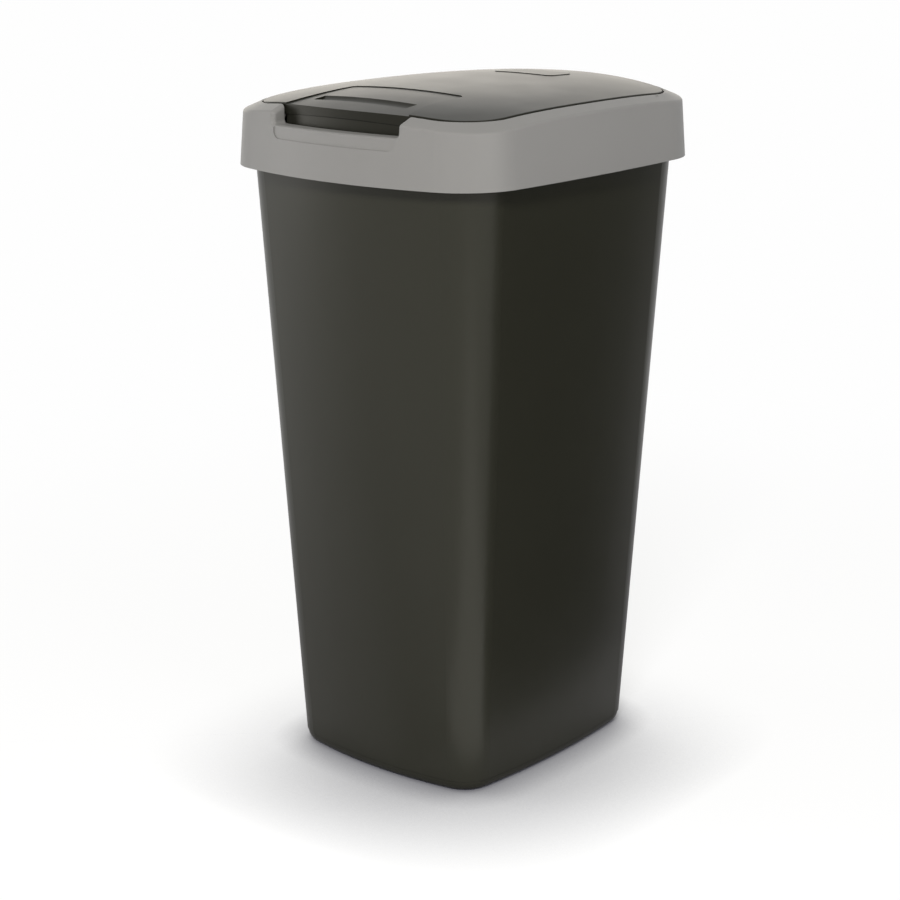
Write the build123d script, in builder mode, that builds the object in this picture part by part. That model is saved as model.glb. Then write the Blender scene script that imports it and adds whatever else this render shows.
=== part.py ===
from build123d import *
from dataclasses import dataclass
from math import hypot, radians, sqrt, tan
import os

# Kitchen bin of about 42 litres in three injection mouldings: a tall tapered bucket, a rim
# frame that drops over its mouth and hides the bag's edge, and a crowned lid hinged in the
# frame. Millimetres, +Z up, front towards -Y, origin at the centre of the base on the floor.

overall_height = 605.9

# Bucket
bucket_height = 573.0
bucket_wall = 2.2
foot_width = 223.2
foot_depth = 259.9
foot_end_bow = 403.0
foot_side_bow = 804.0
foot_corner = 31.7
foot_height = 10.5
foot_step = 1.0
foot_rounding = 9.0
base_recess = 3.5
base_ring = 24.0
base_floor = 3.0
floor_rounding = 9.0
mouth_width = 274.1
mouth_depth = 336.1
mouth_end_bow = 373.3
mouth_side_bow = 1840.0
mouth_corner = 47.0
brim_reach = 4.6
brim_thickness = 2.4
brim_lip = 9.0
brim_lip_wall = 1.8

# Rim frame
rim_wall = 2.4
rim_side_overhang = 12.0
rim_end_overhang = 11.2
rim_corner = 59.6
skirt_below_brim = 35.2
skirt_draft = 4.37
top_slope_run = 18.0
top_slope_drop = 3.7
top_edge_rounding = 3.0
flange_wall = 2.2
flange_side_clearance = 1.6
flange_end_clearance = 2.4
flange_below_brim = 11.0
opening_corner = 51.0
opening_edge_rounding = 1.0
ledge_width = 5.0
ledge_thickness = 2.0
ledge_clearance = 0.3
seat_rib = 1.6
seat_rib_pitch_along = 42.0
seat_rib_pitch_across = 40.0
notch_half_width = 68.9
notch_corner = 3.0
notch_rounding = 3.5
sill_above_brim = 5.0
panel_margin = 1.4
panel_height = 11.0
panel_corner = 7.0
panel_step = 1.0

# Lid
lid_proud = 0.5
lid_gap = 1.0
lid_rear_gap = 2.2
lid_plate = 2.3
lid_skirt_depth = 9.6
lid_skirt_wall = 2.0
lid_edge_rounding = 0.9
lid_rib = 1.6
lid_rib_depth = 6.0
lid_rib_half_pitch = 72.0
lid_rib_places = (-20.0, 55.0)
grip_half_width = 62.0
grip_back = 76.0
grip_corner = 6.0
grip_flare_start = 112.0
grip_flare_radius = 145.0
grip_back_step = 0.8
grip_front_step = 2.6
grip_side_lift = 0.6
lip_rounding = 0.6
scoop_half_length = 51.5
scoop_middle = 132.5
scoop_width = 14.8
scoop_depth = 2.4
apron_half_width = 67.6
apron_thickness = 4.4
apron_undercut = 1.8
apron_undercut_start = 19.4
apron_crease = 16.0
apron_bottom_rounding = 1.0
plate_width = 66.0
plate_depth = 34.0
plate_corner = 7.0
plate_middle = 94.0
plate_height = 0.6

# Hinge: a stub pin on each side of the lid turns in a bored boss of the rim frame
hinge_back = 100.0
hinge_above_brim = 14.5
pin_radius = 3.0
pin_clearance = 0.05
pin_boss_radius = 5.5
pin_boss_depth = 4.0
pin_past_flange = 1.2
socket_boss_radius = 6.0
socket_boss_depth = 1.6

# Crown shared by the rim's top and the lid, as the fall away from the height at the centre:
# rounded across and along, steeper towards the edges, and highest a little behind the centre
crown_peak_rise = 0.1
crown_across = 4.67e-4
crown_across_edge = 4.88e-9
crown_along = 4.84e-5
crown_along_edge = 7.84e-9
crown_both = 9.44e-9
crown_tilt = 4.32e-3
crown_tilt_edge = 3.27e-7

# Room left round the crown's surface and above it when everything over it is cut away, and
# the places on each side of its middle through which the surface is laid
plan_margin = 20.0
headroom = 120.0
surface_steps = 6

# How near an edge's middle lies to the face that it is looked for on
edge_search = 0.5


@dataclass(frozen=True)
class Outline:
    """A rectangle in plan whose ends and sides bow outwards and whose corners are rounded."""

    width: float
    depth: float
    end_bow: float
    side_bow: float
    corner: float

    def inset(self, by):
        return Outline(
            self.width - 2 * by,
            self.depth - 2 * by,
            self.end_bow - by,
            self.side_bow - by,
            self.corner - by,
        )

    @property
    def end_centre(self):
        return self.end_bow - self.depth / 2

    @property
    def side_centre(self):
        return self.side_bow - self.width / 2

    def side_at(self, y):
        return sqrt(self.side_bow**2 - y**2) - self.side_centre

    def holds(self, point, margin):
        """Whether a place in plan lies within the four bows, or outside them by the margin."""
        to_end = self.end_bow - hypot(point.X, abs(point.Y) + self.end_centre)
        to_side = self.side_bow - hypot(abs(point.X) + self.side_centre, point.Y)
        return min(to_end, to_side) > -margin

    def at(self, height, centre_y=0.0):
        with BuildSketch(Plane.XY.offset(height)) as section:
            with Locations((0, centre_y + self.end_centre)):
                Circle(self.end_bow)
            with Locations((0, centre_y - self.end_centre)):
                Circle(self.end_bow, mode=Mode.INTERSECT)
            for side in (1, -1):
                with Locations(Location((side * self.side_centre, centre_y, 0), (0, 0, 90))):
                    Circle(self.side_bow, mode=Mode.INTERSECT)
            fillet(section.vertices(), self.corner)
        return section.sketch

    def column(self, bottom, top, centre_y=0.0):
        return extrude(self.at(bottom, centre_y), amount=top - bottom, mode=Mode.PRIVATE)


def crown_fall(x, y):
    across_part = crown_across * x**2 + crown_across_edge * x**4
    along_part = crown_along * y**2 + crown_along_edge * y**4
    tilt_part = crown_tilt * y + crown_tilt_edge * y**3
    return across_part + along_part + crown_both * x**2 * y**2 - tilt_part


def block_above(height_at):
    """Everything above a smooth surface that is given as a height for each place in plan."""
    reach_x = mouth_width / 2 + rim_side_overhang + plan_margin
    reach_y = mouth_depth / 2 + rim_end_overhang + plan_margin
    steps = [i / surface_steps for i in range(-surface_steps, surface_steps + 1)]
    rows = [
        [Vector(u * reach_x, v * reach_y, height_at(u * reach_x, v * reach_y)) for v in steps]
        for u in steps
    ]
    surface = Face.make_surface_from_array_of_points(rows, tol=0.005, min_deg=4, max_deg=8)
    return extrude(surface, amount=headroom, dir=(0, 0, 1), mode=Mode.PRIVATE)


crown_block = block_above(lambda x, y: -crown_fall(x, y))


def above_crown(level):
    """Everything above the crown, when the crown's centre is at the given height."""
    return crown_block.moved(Location((0, 0, level)))


mouth = Outline(mouth_width, mouth_depth, mouth_end_bow, mouth_side_bow, mouth_corner)
foot = Outline(foot_width, foot_depth, foot_end_bow, foot_side_bow, foot_corner)
rim_outline = Outline(
    mouth_width + 2 * rim_side_overhang,
    mouth_depth + 2 * rim_end_overhang,
    mouth_end_bow + rim_end_overhang,
    mouth_side_bow + rim_side_overhang,
    rim_corner,
)
opening_side_inset = bucket_wall + flange_side_clearance + flange_wall
opening_end_inset = bucket_wall + flange_end_clearance + flange_wall
opening = Outline(
    mouth_width - 2 * opening_side_inset,
    mouth_depth - 2 * opening_end_inset,
    mouth_end_bow - opening_end_inset,
    mouth_side_bow - opening_side_inset,
    opening_corner,
)
lid_outline = Outline(
    opening.width - 2 * lid_gap,
    opening.depth - lid_gap - lid_rear_gap,
    opening.end_bow - lid_gap,
    opening.side_bow - lid_gap,
    opening.corner - lid_gap,
)
lid_centre = (lid_gap - lid_rear_gap) / 2
lid_front = lid_outline.depth / 2 - lid_centre
lid_crown = overall_height - crown_peak_rise
hinge_height = bucket_height + hinge_above_brim

# Bucket: tapered wall with a thin rounded foot stepped in below it, an outward brim with a
# turned-down lip round the mouth, and a base pushed up inside a standing ring
with BuildPart() as bucket_cavity:
    floor_height = base_recess + base_floor
    loft(
        [
            foot.inset(bucket_wall).at(floor_height),
            mouth.inset(bucket_wall).at(bucket_height),
        ],
        ruled=True,
    )
    fillet(bucket_cavity.faces().sort_by(Axis.Z)[0].edges(), floor_rounding)

with BuildPart() as bucket:
    extrude(foot.inset(foot_step).at(0), amount=foot_height)
    fillet(bucket.faces().sort_by(Axis.Z)[0].edges(), foot_rounding)
    loft([foot.at(foot_height), mouth.at(bucket_height)], ruled=True)
    lip_bottom = bucket_height - brim_lip
    brim_underside = bucket_height - brim_thickness
    add(mouth.inset(-brim_reach).column(lip_bottom, bucket_height))
    lip_inside = mouth.inset(brim_lip_wall - brim_reach).column(lip_bottom, brim_underside)
    add(lip_inside - mouth.column(lip_bottom, brim_underside), mode=Mode.SUBTRACT)
    add(bucket_cavity.part, mode=Mode.SUBTRACT)
    extrude(foot.inset(base_ring).at(0), amount=base_recess, mode=Mode.SUBTRACT)

# Rim frame: a flared skirt outside the brim, a top that slopes up to the opening, and an
# inner flange that hangs into the bucket's mouth
skirt_bottom = bucket_height - skirt_below_brim
skirt_rise = overall_height - skirt_bottom
draft_in = skirt_rise * tan(radians(skirt_draft))
flange_bottom = bucket_height - flange_below_brim
sill_top = bucket_height + sill_above_brim
top_slope = top_slope_drop / top_slope_run
side_top_rise = lid_crown - crown_fall(mouth_width / 2, 0) - skirt_bottom
straight_run = rim_side_overhang + opening_side_inset - side_top_rise * tan(radians(skirt_draft))
rim_crown = lid_crown - lid_proud + top_slope * (top_slope_run - straight_run)


def drafted_body(inside):
    """The skirt's tapered form, moved in by the given amount."""
    lower = rim_outline.inset(inside).at(skirt_bottom)
    upper = rim_outline.inset(inside + draft_in).at(skirt_bottom + skirt_rise)
    return loft([lower, upper], ruled=True, mode=Mode.PRIVATE)


def on_opening_front(edge):
    middle = edge.position_at(0.5)
    reach = hypot(middle.X, middle.Y - opening.end_centre)
    return abs(reach - opening.end_bow) < edge_search


# All that the skirt, top and flange leave empty below them. The ribs under the top stand on
# the bucket's brim, and the notch has a floor and two side walls.
with BuildPart() as rim_hollow:
    add(drafted_body(rim_wall))
    add(above_crown(rim_crown - rim_wall), mode=Mode.SUBTRACT)
    hollow_top = rim_hollow.faces().sort_by(Axis.Z)[-1]
    hollow_run = top_slope_run - rim_wall
    chamfer(
        hollow_top.edges(),
        length=hollow_run,
        length2=hollow_run * top_slope,
        reference=hollow_top,
    )
    flange_outline = Outline(
        opening.width + 2 * flange_wall,
        opening.depth + 2 * flange_wall,
        opening.end_bow + flange_wall,
        opening.side_bow + flange_wall,
        opening.corner + flange_wall,
    )
    add(flange_outline.column(flange_bottom, overall_height), mode=Mode.SUBTRACT)
    upwards = (Align.CENTER, Align.CENTER, Align.MIN)
    with Locations((0, -opening.depth / 2, sill_top - rim_wall)):
        Box(
            2 * (notch_half_width + rim_wall),
            opening.depth / 2,
            headroom,
            align=upwards,
            mode=Mode.SUBTRACT,
        )
    with Locations(*[(0, i * seat_rib_pitch_along, bucket_height) for i in (-2, -1, 0, 1)]):
        Box(2 * mouth_width, seat_rib, headroom, align=upwards, mode=Mode.SUBTRACT)
    with Locations(*[(i * seat_rib_pitch_across, 0, bucket_height) for i in range(-2, 3)]):
        Box(seat_rib, 2 * mouth_depth, headroom, align=upwards, mode=Mode.SUBTRACT)

# Sunk panel below the notch, of even depth all over the bowed and drafted skirt
with BuildPart() as panel:
    with BuildSketch(Plane.XZ) as panel_window:
        with Locations((0, sill_top - panel_height)):
            Rectangle(
                2 * (notch_half_width - panel_margin),
                headroom,
                align=(Align.CENTER, Align.MIN),
            )
        fillet(panel_window.vertices().group_by(Axis.Y)[0], panel_corner)
    extrude(amount=mouth_depth)
    add(drafted_body(panel_step), mode=Mode.SUBTRACT)

# Ledge that stops the lid in front of the hinge, left out at the notch
with BuildPart() as ledge:
    ledge_top = lid_crown - lid_skirt_depth - ledge_clearance
    add(opening.inset(-flange_wall / 2).column(flange_bottom, overall_height))
    add(opening.inset(ledge_width).column(flange_bottom, overall_height), mode=Mode.SUBTRACT)
    add(above_crown(ledge_top), mode=Mode.SUBTRACT)
    add(above_crown(ledge_top - ledge_thickness), mode=Mode.INTERSECT)
    ledge_end = hinge_back - pin_boss_radius - 2 * lid_gap
    with Locations((0, ledge_end, flange_bottom)):
        Box(
            mouth_width,
            mouth_depth,
            headroom,
            align=(Align.CENTER, Align.MIN, Align.MIN),
            mode=Mode.SUBTRACT,
        )
    with Locations((0, -opening.depth / 2, flange_bottom)):
        Box(
            2 * (notch_half_width + rim_wall),
            opening.depth / 2,
            headroom,
            align=upwards,
            mode=Mode.SUBTRACT,
        )

with BuildPart() as rim_frame:
    add(drafted_body(0))
    add(above_crown(rim_crown), mode=Mode.SUBTRACT)
    crown_face = rim_frame.faces().sort_by(Axis.Z)[-1]
    chamfer(
        crown_face.edges(),
        length=top_slope_run,
        length2=top_slope_drop,
        reference=crown_face,
    )
    skirt_faces = rim_frame.faces().filter_by(
        lambda f: f.bounding_box().min.Z < bucket_height and f.bounding_box().max.Z > sill_top
    )
    top_outer_edges = [
        e for f in skirt_faces for e in f.edges() if e.bounding_box().min.Z > sill_top
    ]
    fillet(top_outer_edges, top_edge_rounding)
    add(opening.column(skirt_bottom, overall_height), mode=Mode.SUBTRACT)

    # Finger notch, rounded over along its outer edge from the sill up both sides and the top
    with BuildSketch(Plane.XZ.offset(opening.depth / 2 - plan_margin)) as notch:
        with Locations((0, sill_top)):
            Rectangle(2 * notch_half_width, headroom, align=(Align.CENTER, Align.MIN))
        fillet(notch.vertices().group_by(Axis.Y)[0], notch_corner)
    extrude(amount=3 * plan_margin, mode=Mode.SUBTRACT)
    notch_outer_edges = (
        rim_frame.edges(Select.LAST)
        .filter_by(GeomType.LINE, reverse=True)
        .filter_by(lambda e: abs(e.bounding_box().min.X) < notch_half_width + edge_search)
        .filter_by(lambda e: abs(e.bounding_box().max.X) < notch_half_width + edge_search)
        .filter_by(lambda e: not on_opening_front(e))
    )
    fillet(notch_outer_edges, notch_rounding)
    opening_edges = (
        rim_frame.edges()
        .filter_by(lambda e: e.bounding_box().min.Z > sill_top + notch_corner)
        .filter_by(lambda e: e.bounding_box().size.Z < lid_skirt_depth)
        .filter_by(lambda e: e.length > notch_rounding + opening_edge_rounding)
        .filter_by(lambda e: opening.holds(e.position_at(0.5), edge_search))
    )
    fillet(opening_edges, opening_edge_rounding)
    add(rim_hollow.part, mode=Mode.SUBTRACT)
    add(panel.part, mode=Mode.SUBTRACT)
    add(ledge.part)

    # Bored bosses for the lid's pins, on the outside of the inner flange
    flange_face = opening.side_at(hinge_back)
    socket_end = flange_face + flange_wall + socket_boss_depth
    with BuildSketch(Plane.YZ.offset(flange_face + flange_wall / 2)) as right_boss:
        with Locations((hinge_back, hinge_height)):
            Circle(socket_boss_radius)
    with BuildSketch(Plane.YZ.offset(-flange_face - flange_wall / 2)) as left_boss:
        with Locations((hinge_back, hinge_height)):
            Circle(socket_boss_radius)
    boss_length = flange_wall / 2 + socket_boss_depth
    extrude(right_boss.sketch, amount=boss_length)
    extrude(left_boss.sketch, amount=-boss_length)
    with Locations(Location((0, hinge_back, hinge_height), (0, 90, 0))):
        Cylinder(pin_radius + pin_clearance, 2 * socket_end, mode=Mode.SUBTRACT)

# Lid: a thin crowned plate with a shallow skirt, ribbed underneath. In front the grip area is
# stepped down, its lip overhangs a curved apron that closes the notch, and a groove across it
# gives the fingertips a hold.
grip_length = lid_front - grip_back


def grip_floor(x, y):
    """The grip area's surface, which sinks towards the lip and less so at its sides."""
    forward = ((-grip_back - y) / grip_length) ** 2
    inward = 1 - grip_side_lift * (x / grip_half_width) ** 2
    step = grip_back_step + (grip_front_step - grip_back_step) * forward * inward
    return lid_crown - crown_fall(x, y) - step


def grip_column(wider, bottom, top):
    """The grip area's plan: straight sides that flare to the lip, and a rounded back."""
    half = grip_half_width + wider
    back = -grip_back + wider
    ahead = -lid_front - plan_margin
    flare_y = -grip_flare_start
    flare_centre = half + grip_flare_radius
    flare_end = flare_centre - sqrt(grip_flare_radius**2 - (flare_y - ahead) ** 2)
    with BuildSketch(Plane.XY.offset(bottom)) as plan:
        with BuildLine():
            Polyline((half, flare_y), (half, back), (-half, back), (-half, flare_y))
            RadiusArc((-half, flare_y), (-flare_end, ahead), grip_flare_radius)
            Line((-flare_end, ahead), (flare_end, ahead))
            RadiusArc((flare_end, ahead), (half, flare_y), grip_flare_radius)
        make_face()
        fillet(plan.vertices().group_by(Axis.Y)[-1], grip_corner + wider)
    return extrude(plan.sketch, amount=top - bottom, mode=Mode.PRIVATE)


def scoop(radius, half_length):
    """A round bar lying across the grip area, bent to follow the crown."""
    lift = scoop_radius - scoop_depth
    along = [(x, -scoop_middle) for x in (-half_length, 0, half_length)]
    points = [(x, y, grip_floor(x, y) + lift) for x, y in along]
    with BuildLine() as path:
        bent = ThreePointArc(*points)
    with BuildSketch(Plane(origin=bent @ 0, z_dir=bent % 0)) as section:
        Circle(radius)
    return sweep(section.sketch, path=path.wire(), mode=Mode.PRIVATE)


scoop_radius = ((scoop_width / 2) ** 2 + scoop_depth**2) / (2 * scoop_depth)
lid_bottom = bucket_height - plan_margin

# Hollow underside of the plate, less the ribs and the material under the grip and the groove
with BuildPart() as lid_hollow:
    add(lid_outline.inset(lid_skirt_wall).column(lid_bottom, overall_height, lid_centre))
    add(above_crown(lid_crown - lid_plate), mode=Mode.SUBTRACT)
    grip_underside = block_above(lambda x, y: grip_floor(x, y) - lid_plate)
    grip_bulk = grip_column(lid_plate, lid_bottom, overall_height) & grip_underside
    add(grip_bulk, mode=Mode.SUBTRACT)
    scoop_bulk = scoop(scoop_radius + lid_plate, scoop_half_length + lid_plate)
    add(scoop_bulk, mode=Mode.SUBTRACT)

# Ribs under the plate: two run from front to back and two across
with BuildPart() as lid_ribs:
    with Locations((-lid_rib_half_pitch, 0, lid_bottom), (lid_rib_half_pitch, 0, lid_bottom)):
        Box(lid_rib, lid_outline.depth - lid_outline.corner, headroom, align=upwards)
    with Locations(*[(0, y, lid_bottom) for y in lid_rib_places]):
        Box(lid_outline.width - lid_skirt_wall, lid_rib, headroom, align=upwards)
    add(above_crown(lid_crown - lid_plate - lid_rib_depth), mode=Mode.INTERSECT)
    add(above_crown(lid_crown - lid_plate / 2), mode=Mode.SUBTRACT)

# Apron under the lip: set back under it to a crease, then swelling forwards to the sill
with BuildPart() as apron:
    with BuildSketch(Plane.YZ) as apron_section:
        with BuildLine():
            inside = -lid_front + apron_thickness
            undercut_start = (-lid_front, bucket_height + apron_undercut_start)
            crease = (-lid_front + apron_undercut, bucket_height + apron_crease)
            swell_foot = (-lid_front, sill_top)
            Polyline((-lid_front, overall_height), undercut_start, crease)
            TangentArc(swell_foot, crease, tangent=(0, 1))
            Polyline(
                swell_foot,
                (-lid_front, bucket_height),
                (inside, bucket_height),
                (inside, overall_height),
                (-lid_front, overall_height),
            )
        make_face()
        foot_corners = apron_section.vertices().group_by(Axis.Y)[0]
        fillet(foot_corners, apron_bottom_rounding)
    revolve(axis=Axis((0, lid_centre + lid_outline.end_centre, 0), (0, 0, 1)))
    with Locations((0, -lid_front, bucket_height)):
        Box(
            2 * apron_half_width,
            lid_outline.end_bow,
            headroom,
            align=upwards,
            mode=Mode.INTERSECT,
        )
    add(block_above(lambda x, y: grip_floor(x, y) - lid_plate / 2), mode=Mode.SUBTRACT)

with BuildPart() as lid:
    add(lid_outline.column(lid_bottom, overall_height, lid_centre))
    add(above_crown(lid_crown - lid_skirt_depth), mode=Mode.INTERSECT)
    add(above_crown(lid_crown), mode=Mode.SUBTRACT)
    top_face = lid.faces().sort_by(Axis.Z)[-1]
    fillet(top_face.edges(), lid_edge_rounding)
    add(lid_hollow.part, mode=Mode.SUBTRACT)
    add(lid_ribs.part)
    add(apron.part)
    grip_cut = grip_column(0, lid_bottom, overall_height) & block_above(grip_floor)
    add(grip_cut, mode=Mode.SUBTRACT)
    lip_edge = lid.edges(Select.LAST).sort_by(lambda e: e.position_at(0.5).Y)[0]
    fillet(lip_edge, lip_rounding)
    add(scoop(scoop_radius, scoop_half_length), mode=Mode.SUBTRACT)

    # Bare plate near the hinge
    with BuildSketch(Plane.XY.offset(lid_crown - crown_fall(0, plate_middle))) as plate_plan:
        with Locations((0, plate_middle)):
            RectangleRounded(plate_width, plate_depth, plate_corner)
    plate_body = extrude(plate_plan.sketch, amount=2 * lid_plate, both=True, mode=Mode.PRIVATE)
    plate_body = plate_body & above_crown(lid_crown - lid_plate / 2)
    add(plate_body - above_crown(lid_crown + plate_height))

    # Stub pins with their bosses inside the skirt
    skirt_face = lid_outline.side_at(hinge_back)
    boss_start = skirt_face - lid_skirt_wall - pin_boss_depth
    boss_end = skirt_face - lid_edge_rounding / 2
    pin_end = flange_face + flange_wall + pin_past_flange
    for side in (1, -1):
        with BuildSketch(Plane.YZ.offset(side * boss_start)) as boss_disc:
            with Locations((hinge_back, hinge_height)):
                Circle(pin_boss_radius)
        extrude(boss_disc.sketch, amount=side * (boss_end - boss_start))
        with BuildSketch(Plane.YZ.offset(side * boss_start)) as pin_disc:
            with Locations((hinge_back, hinge_height)):
                Circle(pin_radius)
        extrude(pin_disc.sketch, amount=side * (pin_end - boss_start))

os.makedirs("parts", exist_ok=True)
for piece, label in ((bucket.part, "bucket"), (rim_frame.part, "rim_frame"), (lid.part, "lid")):
    piece.label = label
    export_step(piece, f"parts/{label}.step")
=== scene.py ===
import bmesh
import bpy
from math import cos, radians, sin
from mathutils import Matrix, Vector

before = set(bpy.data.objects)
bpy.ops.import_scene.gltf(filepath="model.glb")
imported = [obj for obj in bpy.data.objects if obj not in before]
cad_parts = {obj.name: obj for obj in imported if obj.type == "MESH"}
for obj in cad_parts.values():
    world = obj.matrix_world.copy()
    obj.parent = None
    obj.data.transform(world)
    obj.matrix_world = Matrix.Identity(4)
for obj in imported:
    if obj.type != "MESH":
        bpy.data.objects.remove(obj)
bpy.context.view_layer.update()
scene = bpy.context.scene
scene.view_settings.view_transform = "Standard"


# Camera: a long lens off the bin's front right corner, a little above the lid's level. It aims
# just beside and below the bin's middle, which sets the framing with no shift of the lens.
azimuth, elevation, distance = radians(39.568), radians(15.226), 1.93164
middle = Vector((0.0, 0.0, 0.29335))
aim_left, aim_down = 0.01384, 0.02108


def facing(at, target):
    """The place and turn of something at one point that looks along its own -Z at another."""
    backward = (at - target).normalized()
    across = Vector((0.0, 0.0, 1.0)).cross(backward).normalized()
    turn = Matrix((across, backward.cross(across), backward)).transposed().to_4x4()
    return Matrix.Translation(at) @ turn


away = Vector((sin(azimuth) * cos(elevation), -cos(azimuth) * cos(elevation), sin(elevation)))
rightward = Vector((cos(azimuth), sin(azimuth), 0.0))
upward = away.cross(rightward)
camera_data = bpy.data.cameras.new("camera")
camera_data.lens = 84.965
camera_data.sensor_width = 36.0
camera = bpy.data.objects.new("camera", camera_data)
scene.collection.objects.link(camera)
camera.matrix_world = facing(
    middle + away * distance, middle - rightward * aim_left - upward * aim_down
)
scene.camera = camera


# Floor: a sweep of matt white paper that the bin stands on. For the camera it is lifted to
# white, with a painted soft shadow that falls forwards and a painted dark line close round the
# foot, and it runs out into plain white. Close to the foot its colour is painted near black as
# shade, so it throws no light back and the foot's rounding is dark underneath.
paper_size = 120.0
painted_foot_shade_width = 0.05
shadow_reach, shadow_depth = 0.15, 1.15
painted_contact_width = 0.035
open_towards = Vector((-0.64, 0.77, 0.75)).normalized()
glow_strength = 0.85
run_out_start, run_out_end = 0.2, 1.3


def linear(hex_colour):
    """An sRGB hex colour such as 8f8e8c as the linear colour that a shader takes."""
    channels = [int(hex_colour[i : i + 2], 16) / 255 for i in (0, 2, 4)]
    return [c / 12.92 if c <= 0.04045 else ((c + 0.055) / 1.055) ** 2.4 for c in channels] + [1.0]


def new_material(name):
    material = bpy.data.materials.new(name)
    material.use_nodes = True
    material.node_tree.nodes.clear()
    return material


def add_node(tree, kind, inputs=None, **settings):
    """A shader node with its settings; inputs maps socket names to values or to other sockets."""
    made = tree.nodes.new(kind)
    for name, value in settings.items():
        setattr(made, name, value)
    for name, value in (inputs or {}).items():
        if isinstance(value, bpy.types.NodeSocket):
            tree.links.new(value, made.inputs[name])
        else:
            made.inputs[name].default_value = value
    return made


def shows_background(tree):
    """A socket that is 1 for a ray from the camera, one that was mirrored or one let through."""
    rays = add_node(tree, "ShaderNodeLightPath")
    seen = add_node(
        tree,
        "ShaderNodeMath",
        {0: rays.outputs["Is Camera Ray"], 1: rays.outputs["Is Glossy Ray"]},
        operation="MAXIMUM",
    )
    seen_or_through = add_node(
        tree,
        "ShaderNodeMath",
        {0: seen.outputs[0], 1: rays.outputs["Is Transmission Ray"]},
        operation="MAXIMUM",
    )
    return seen_or_through.outputs[0]


def stage_sheet(name, finish, width, length, place):
    """A flat sheet of the studio, centred on the origin and then moved and turned by place."""
    sheet_mesh = bmesh.new()
    bmesh.ops.create_grid(sheet_mesh, x_segments=1, y_segments=1, size=0.5)
    bmesh.ops.scale(sheet_mesh, vec=(width, length, 1.0), verts=sheet_mesh.verts)
    bmesh.ops.transform(sheet_mesh, matrix=place, verts=sheet_mesh.verts)
    sheet_data = bpy.data.meshes.new(name)
    sheet_mesh.to_mesh(sheet_data)
    sheet_mesh.free()
    sheet_data.materials.append(finish)
    sheet = bpy.data.objects.new(name, sheet_data)
    scene.collection.objects.link(sheet)
    return sheet


paper = new_material("matt_white_paper")
tree = paper.node_tree
# Painted shade: within a few centimetres of the foot the paper's colour runs down to near black.
painted_foot_shade = add_node(tree, "ShaderNodeAmbientOcclusion", {"Distance": painted_foot_shade_width}, samples=8)
paper_with_painted_foot_shade = add_node(
    tree,
    "ShaderNodeMix",
    {0: painted_foot_shade.outputs["AO"], 6: linear("101012"), 7: linear("e4e4e9")},
    data_type="RGBA",
)
paper_plain = add_node(tree, "ShaderNodeBsdfDiffuse", {"Color": paper_with_painted_foot_shade.outputs[2]})

# Painted shadow: occlusion looked up towards the back, and close round the foot, darkens the
# camera's white lift to a soft bluish shadow falling forwards and a dark contact line.
light_from = add_node(tree, "ShaderNodeCombineXYZ", dict(zip("XYZ", open_towards)))
cast = add_node(
    tree,
    "ShaderNodeAmbientOcclusion",
    {"Distance": shadow_reach, "Normal": light_from.outputs[0]},
    samples=8,
)
shadow = add_node(
    tree, "ShaderNodeMath", {0: cast.outputs["AO"], 1: shadow_depth}, operation="POWER"
)
painted_contact_shadow = add_node(tree, "ShaderNodeAmbientOcclusion", {"Distance": painted_contact_width}, samples=8)
both_shadows = add_node(
    tree, "ShaderNodeMath", {0: shadow.outputs[0], 1: painted_contact_shadow.outputs["AO"]}, operation="MULTIPLY"
)
glow_with_painted_shadows = add_node(
    tree,
    "ShaderNodeMix",
    {0: both_shadows.outputs[0], 6: linear("101020"), 7: linear("fefefc")},
    data_type="RGBA",
)
glow = add_node(
    tree, "ShaderNodeEmission", {"Color": glow_with_painted_shadows.outputs[2], "Strength": glow_strength}
)
paper_dimmed = add_node(tree, "ShaderNodeBsdfDiffuse", {"Color": linear("77777c")})
paper_lifted = add_node(
    tree, "ShaderNodeAddShader", {0: paper_dimmed.outputs[0], 1: glow.outputs[0]}
)
camera_rays = add_node(tree, "ShaderNodeLightPath").outputs["Is Camera Ray"]
paper_near = add_node(
    tree,
    "ShaderNodeMixShader",
    {0: camera_rays, 1: paper_plain.outputs[0], 2: paper_lifted.outputs[0]},
)
paper_white = add_node(tree, "ShaderNodeEmission", {"Color": linear("fefefe"), "Strength": 1.0})
paper_spot = add_node(tree, "ShaderNodeTexCoord").outputs["Object"]
reach = add_node(tree, "ShaderNodeVectorMath", {0: paper_spot}, operation="LENGTH")
run_out = add_node(
    tree,
    "ShaderNodeMapRange",
    {"Value": reach.outputs["Value"], "From Min": run_out_start, "From Max": run_out_end},
    interpolation_type="SMOOTHSTEP",
)
paper_shown = add_node(
    tree,
    "ShaderNodeMixShader",
    {0: run_out.outputs[0], 1: paper_near.outputs[0], 2: paper_white.outputs[0]},
)
paper_mix = add_node(
    tree,
    "ShaderNodeMixShader",
    {0: shows_background(tree), 1: paper_plain.outputs[0], 2: paper_shown.outputs[0]},
)
add_node(tree, "ShaderNodeOutputMaterial", {"Surface": paper_mix.outputs[0]})
stage_sheet("floor", paper, paper_size, paper_size, Matrix.Identity(4))


# Studio: white surroundings for the camera and the reflections, and a duller fill for the
# surfaces themselves. The key throws the rim's shadow but no glare, two boxes light the sides,
# and a low wide one behind is mirrored in the lid's crown.
world = bpy.data.worlds.new("white_studio")
scene.world = world
world.use_nodes = True
tree = world.node_tree
tree.nodes.clear()
fill = add_node(tree, "ShaderNodeBackground", {"Color": linear("f2f4fa"), "Strength": 0.22})
white = add_node(tree, "ShaderNodeBackground", {"Color": linear("fefefd"), "Strength": 1.0})
surroundings = add_node(
    tree,
    "ShaderNodeMixShader",
    {0: shows_background(tree), 1: fill.outputs[0], 2: white.outputs[0]},
)
add_node(tree, "ShaderNodeOutputWorld", {"Surface": surroundings.outputs[0]})


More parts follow.
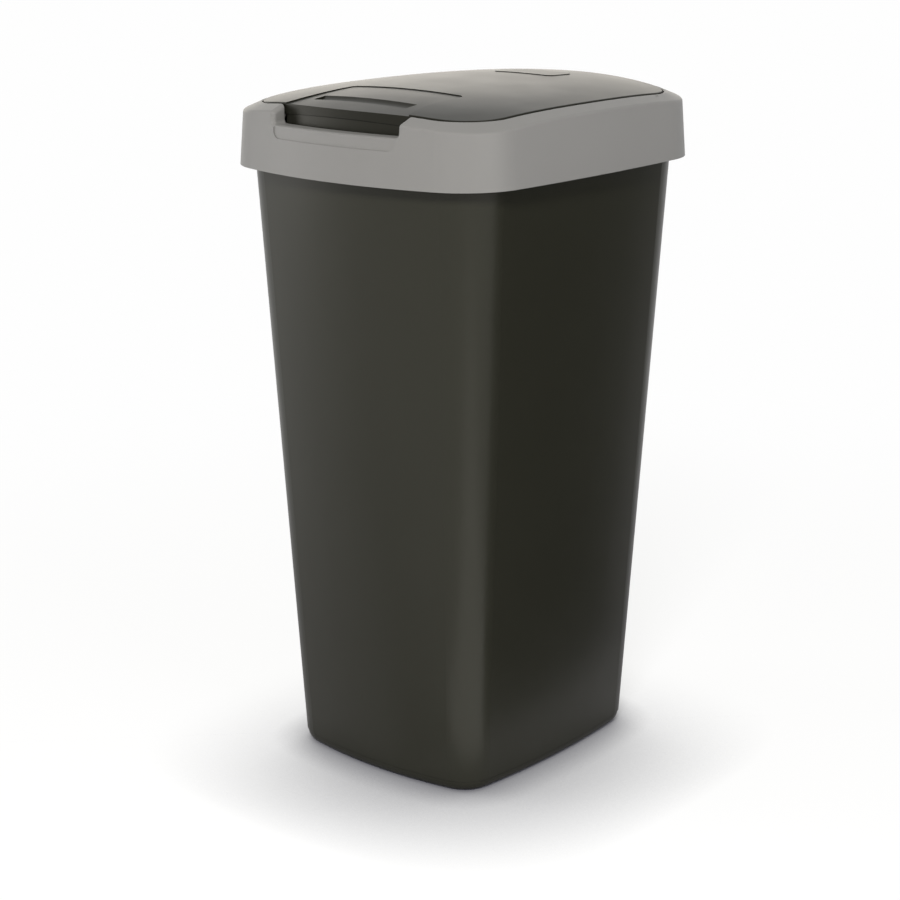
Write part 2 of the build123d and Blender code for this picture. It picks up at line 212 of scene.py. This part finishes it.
def soft_box(name, at, target_height, size, power, tint):
    """A rectangular lamp of that size, aimed at the bin's axis at a height."""
    lamp = bpy.data.lights.new(name, "AREA")
    lamp.shape = "RECTANGLE"
    lamp.size, lamp.size_y = size
    lamp.energy = power
    lamp.color = linear(tint)[:3]
    stand = bpy.data.objects.new(name, lamp)
    scene.collection.objects.link(stand)
    stand.visible_camera = False
    stand.matrix_world = facing(Vector(at), Vector((0.0, 0.0, target_height)))
    return stand


key = soft_box("key", (1.44, -2.28, 2.24), 0.35, (0.7, 0.7), 92.0, "fffdf8")
key.visible_glossy = False
soft_box("left_strip", (-2.3, -1.5, 0.9), 0.4, (0.9, 1.8), 18.0, "fffefb")
soft_box("right_fill", (2.6, -0.2, 1.2), 0.35, (1.5, 1.5), 19.0, "fffefb")
soft_box("behind", (-1.95, 1.5, 0.85), 0.6, (3.4, 0.9), 12.0, "fff5e4")


# Cards: three boards that the gloss alone sees. The black one stands along the bin's right side
# and keeps it deep, the white one lies before the front right corner and lights it, and the
# narrow grey one lies beside that and sets the corner's highlight off from the front.
def reflector_card(name, shader, width, length, place):
    finish = new_material(name)
    surface = add_node(finish.node_tree, *shader)
    add_node(finish.node_tree, "ShaderNodeOutputMaterial", {"Surface": surface.outputs[0]})
    card = stage_sheet(name, finish, width, length, place)
    card.visible_camera = False
    card.visible_diffuse = False
    card.visible_shadow = False
    card.visible_transmission = False


upright = Matrix.Rotation(radians(90.0), 4, "Z") @ Matrix.Rotation(radians(90.0), 4, "X")
reflector_card(
    "black_card",
    ("ShaderNodeBsdfDiffuse", {"Color": linear("303030")}),
    width=0.39,
    length=0.524,
    place=Matrix.Translation((0.2, 0.105, 0.263)) @ upright,
)
reflector_card(
    "white_card",
    ("ShaderNodeEmission", {"Color": linear("fefefe"), "Strength": 1.8}),
    width=0.42,
    length=1.2,
    place=Matrix.Rotation(radians(55.0), 4, "Z") @ Matrix.Translation((0.0, -0.8, 0.002)),
)
grey_pivot = Matrix.Translation((0.07, -0.16, 0.003)) @ Matrix.Rotation(radians(-40.0), 4, "Z")
reflector_card(
    "grey_card",
    ("ShaderNodeEmission", {"Color": linear("b4b4b4"), "Strength": 1.0}),
    width=0.09,
    length=1.9,
    place=grey_pivot @ Matrix.Translation((0.0, -0.97, 0.0)),
)


# Bucket: one tall injection moulding in anthracite polypropylene, run in a polished mould. Its
# colour is even, and only the gloss wanders a little where the melt flowed, over a grain that
# is too shallow to see as such and takes the hard edge off the reflections.
MM = 0.001
pigment_scale, flow_scale = 9.0, 26.0
gloss_wander = 0.03
polypropylene_ior = 1.49


def moulded_polypropylene(name, dark, light, roughness, grain_size, grain_depth, specular, tint):
    """Two pigment tones, a mean roughness, the grain in millimetres, and the gloss's own tint."""
    material = new_material(name)
    tree = material.node_tree
    place = add_node(tree, "ShaderNodeTexCoord").outputs["Object"]
    pigment = add_node(
        tree, "ShaderNodeTexNoise", {"Vector": place, "Scale": pigment_scale, "Detail": 2.0}
    )
    tone = add_node(
        tree,
        "ShaderNodeMix",
        {0: pigment.outputs["Fac"], 6: linear(dark), 7: linear(light)},
        data_type="RGBA",
    )
    flow = add_node(
        tree, "ShaderNodeTexNoise", {"Vector": place, "Scale": flow_scale, "Detail": 3.0}
    )
    gloss = add_node(
        tree,
        "ShaderNodeMapRange",
        {
            "Value": flow.outputs["Fac"],
            "To Min": roughness - gloss_wander,
            "To Max": roughness + gloss_wander,
        },
    )
    grain = add_node(
        tree,
        "ShaderNodeTexNoise",
        {"Vector": place, "Scale": 1 / (grain_size * MM), "Detail": 2.0},
    )
    bump = add_node(
        tree,
        "ShaderNodeBump",
        {"Height": grain.outputs["Fac"], "Distance": grain_depth * MM, "Strength": 1.0},
    )
    shader = add_node(
        tree,
        "ShaderNodeBsdfPrincipled",
        {
            "Base Color": tone.outputs[2],
            "Roughness": gloss.outputs[0],
            "Normal": bump.outputs[0],
            "IOR": polypropylene_ior,
            "Specular IOR Level": specular,
            "Specular Tint": linear(tint),
        },
    )
    add_node(tree, "ShaderNodeOutputMaterial", {"Surface": shader.outputs[0]})
    return material


def repaint(node, material):
    node.data.materials.clear()
    node.data.materials.append(material)


bucket_plastic = moulded_polypropylene(
    "polished_anthracite_polypropylene",
    dark="25251e",
    light="282821",
    roughness=0.34,
    grain_size=2.2,
    grain_depth=0.004,
    specular=0.25,
    tint="fffcf5",
)
repaint(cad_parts["bucket"], bucket_plastic)


# Rim frame: the same polymer in mid grey, from a finely spark-eroded mould. The finer, deeper
# grain scatters the light, so the frame reads as flat grey with soft edges.
rim_plastic = moulded_polypropylene(
    "satin_grey_polypropylene",
    dark="7c7b79",
    light="807f7d",
    roughness=0.42,
    grain_size=1.1,
    grain_depth=0.006,
    specular=0.25,
    tint="ffffff",
)
repaint(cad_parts["rim_frame"], rim_plastic)


# Lid: the bucket's anthracite with a satin face. Its tone is set darker than the bucket's,
# which paints in the shade of the recess under its front lip. By itself it is nearly black, and
# the grey that shows on its crown is the light from behind, mirrored at a low angle.
lid_plastic = moulded_polypropylene(
    "satin_anthracite_polypropylene",
    dark="1b1b16",
    light="1e1e19",
    roughness=0.34,
    grain_size=1.1,
    grain_depth=0.005,
    specular=0.16,
    tint="fffaf0",
)
repaint(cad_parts["lid"], lid_plastic)
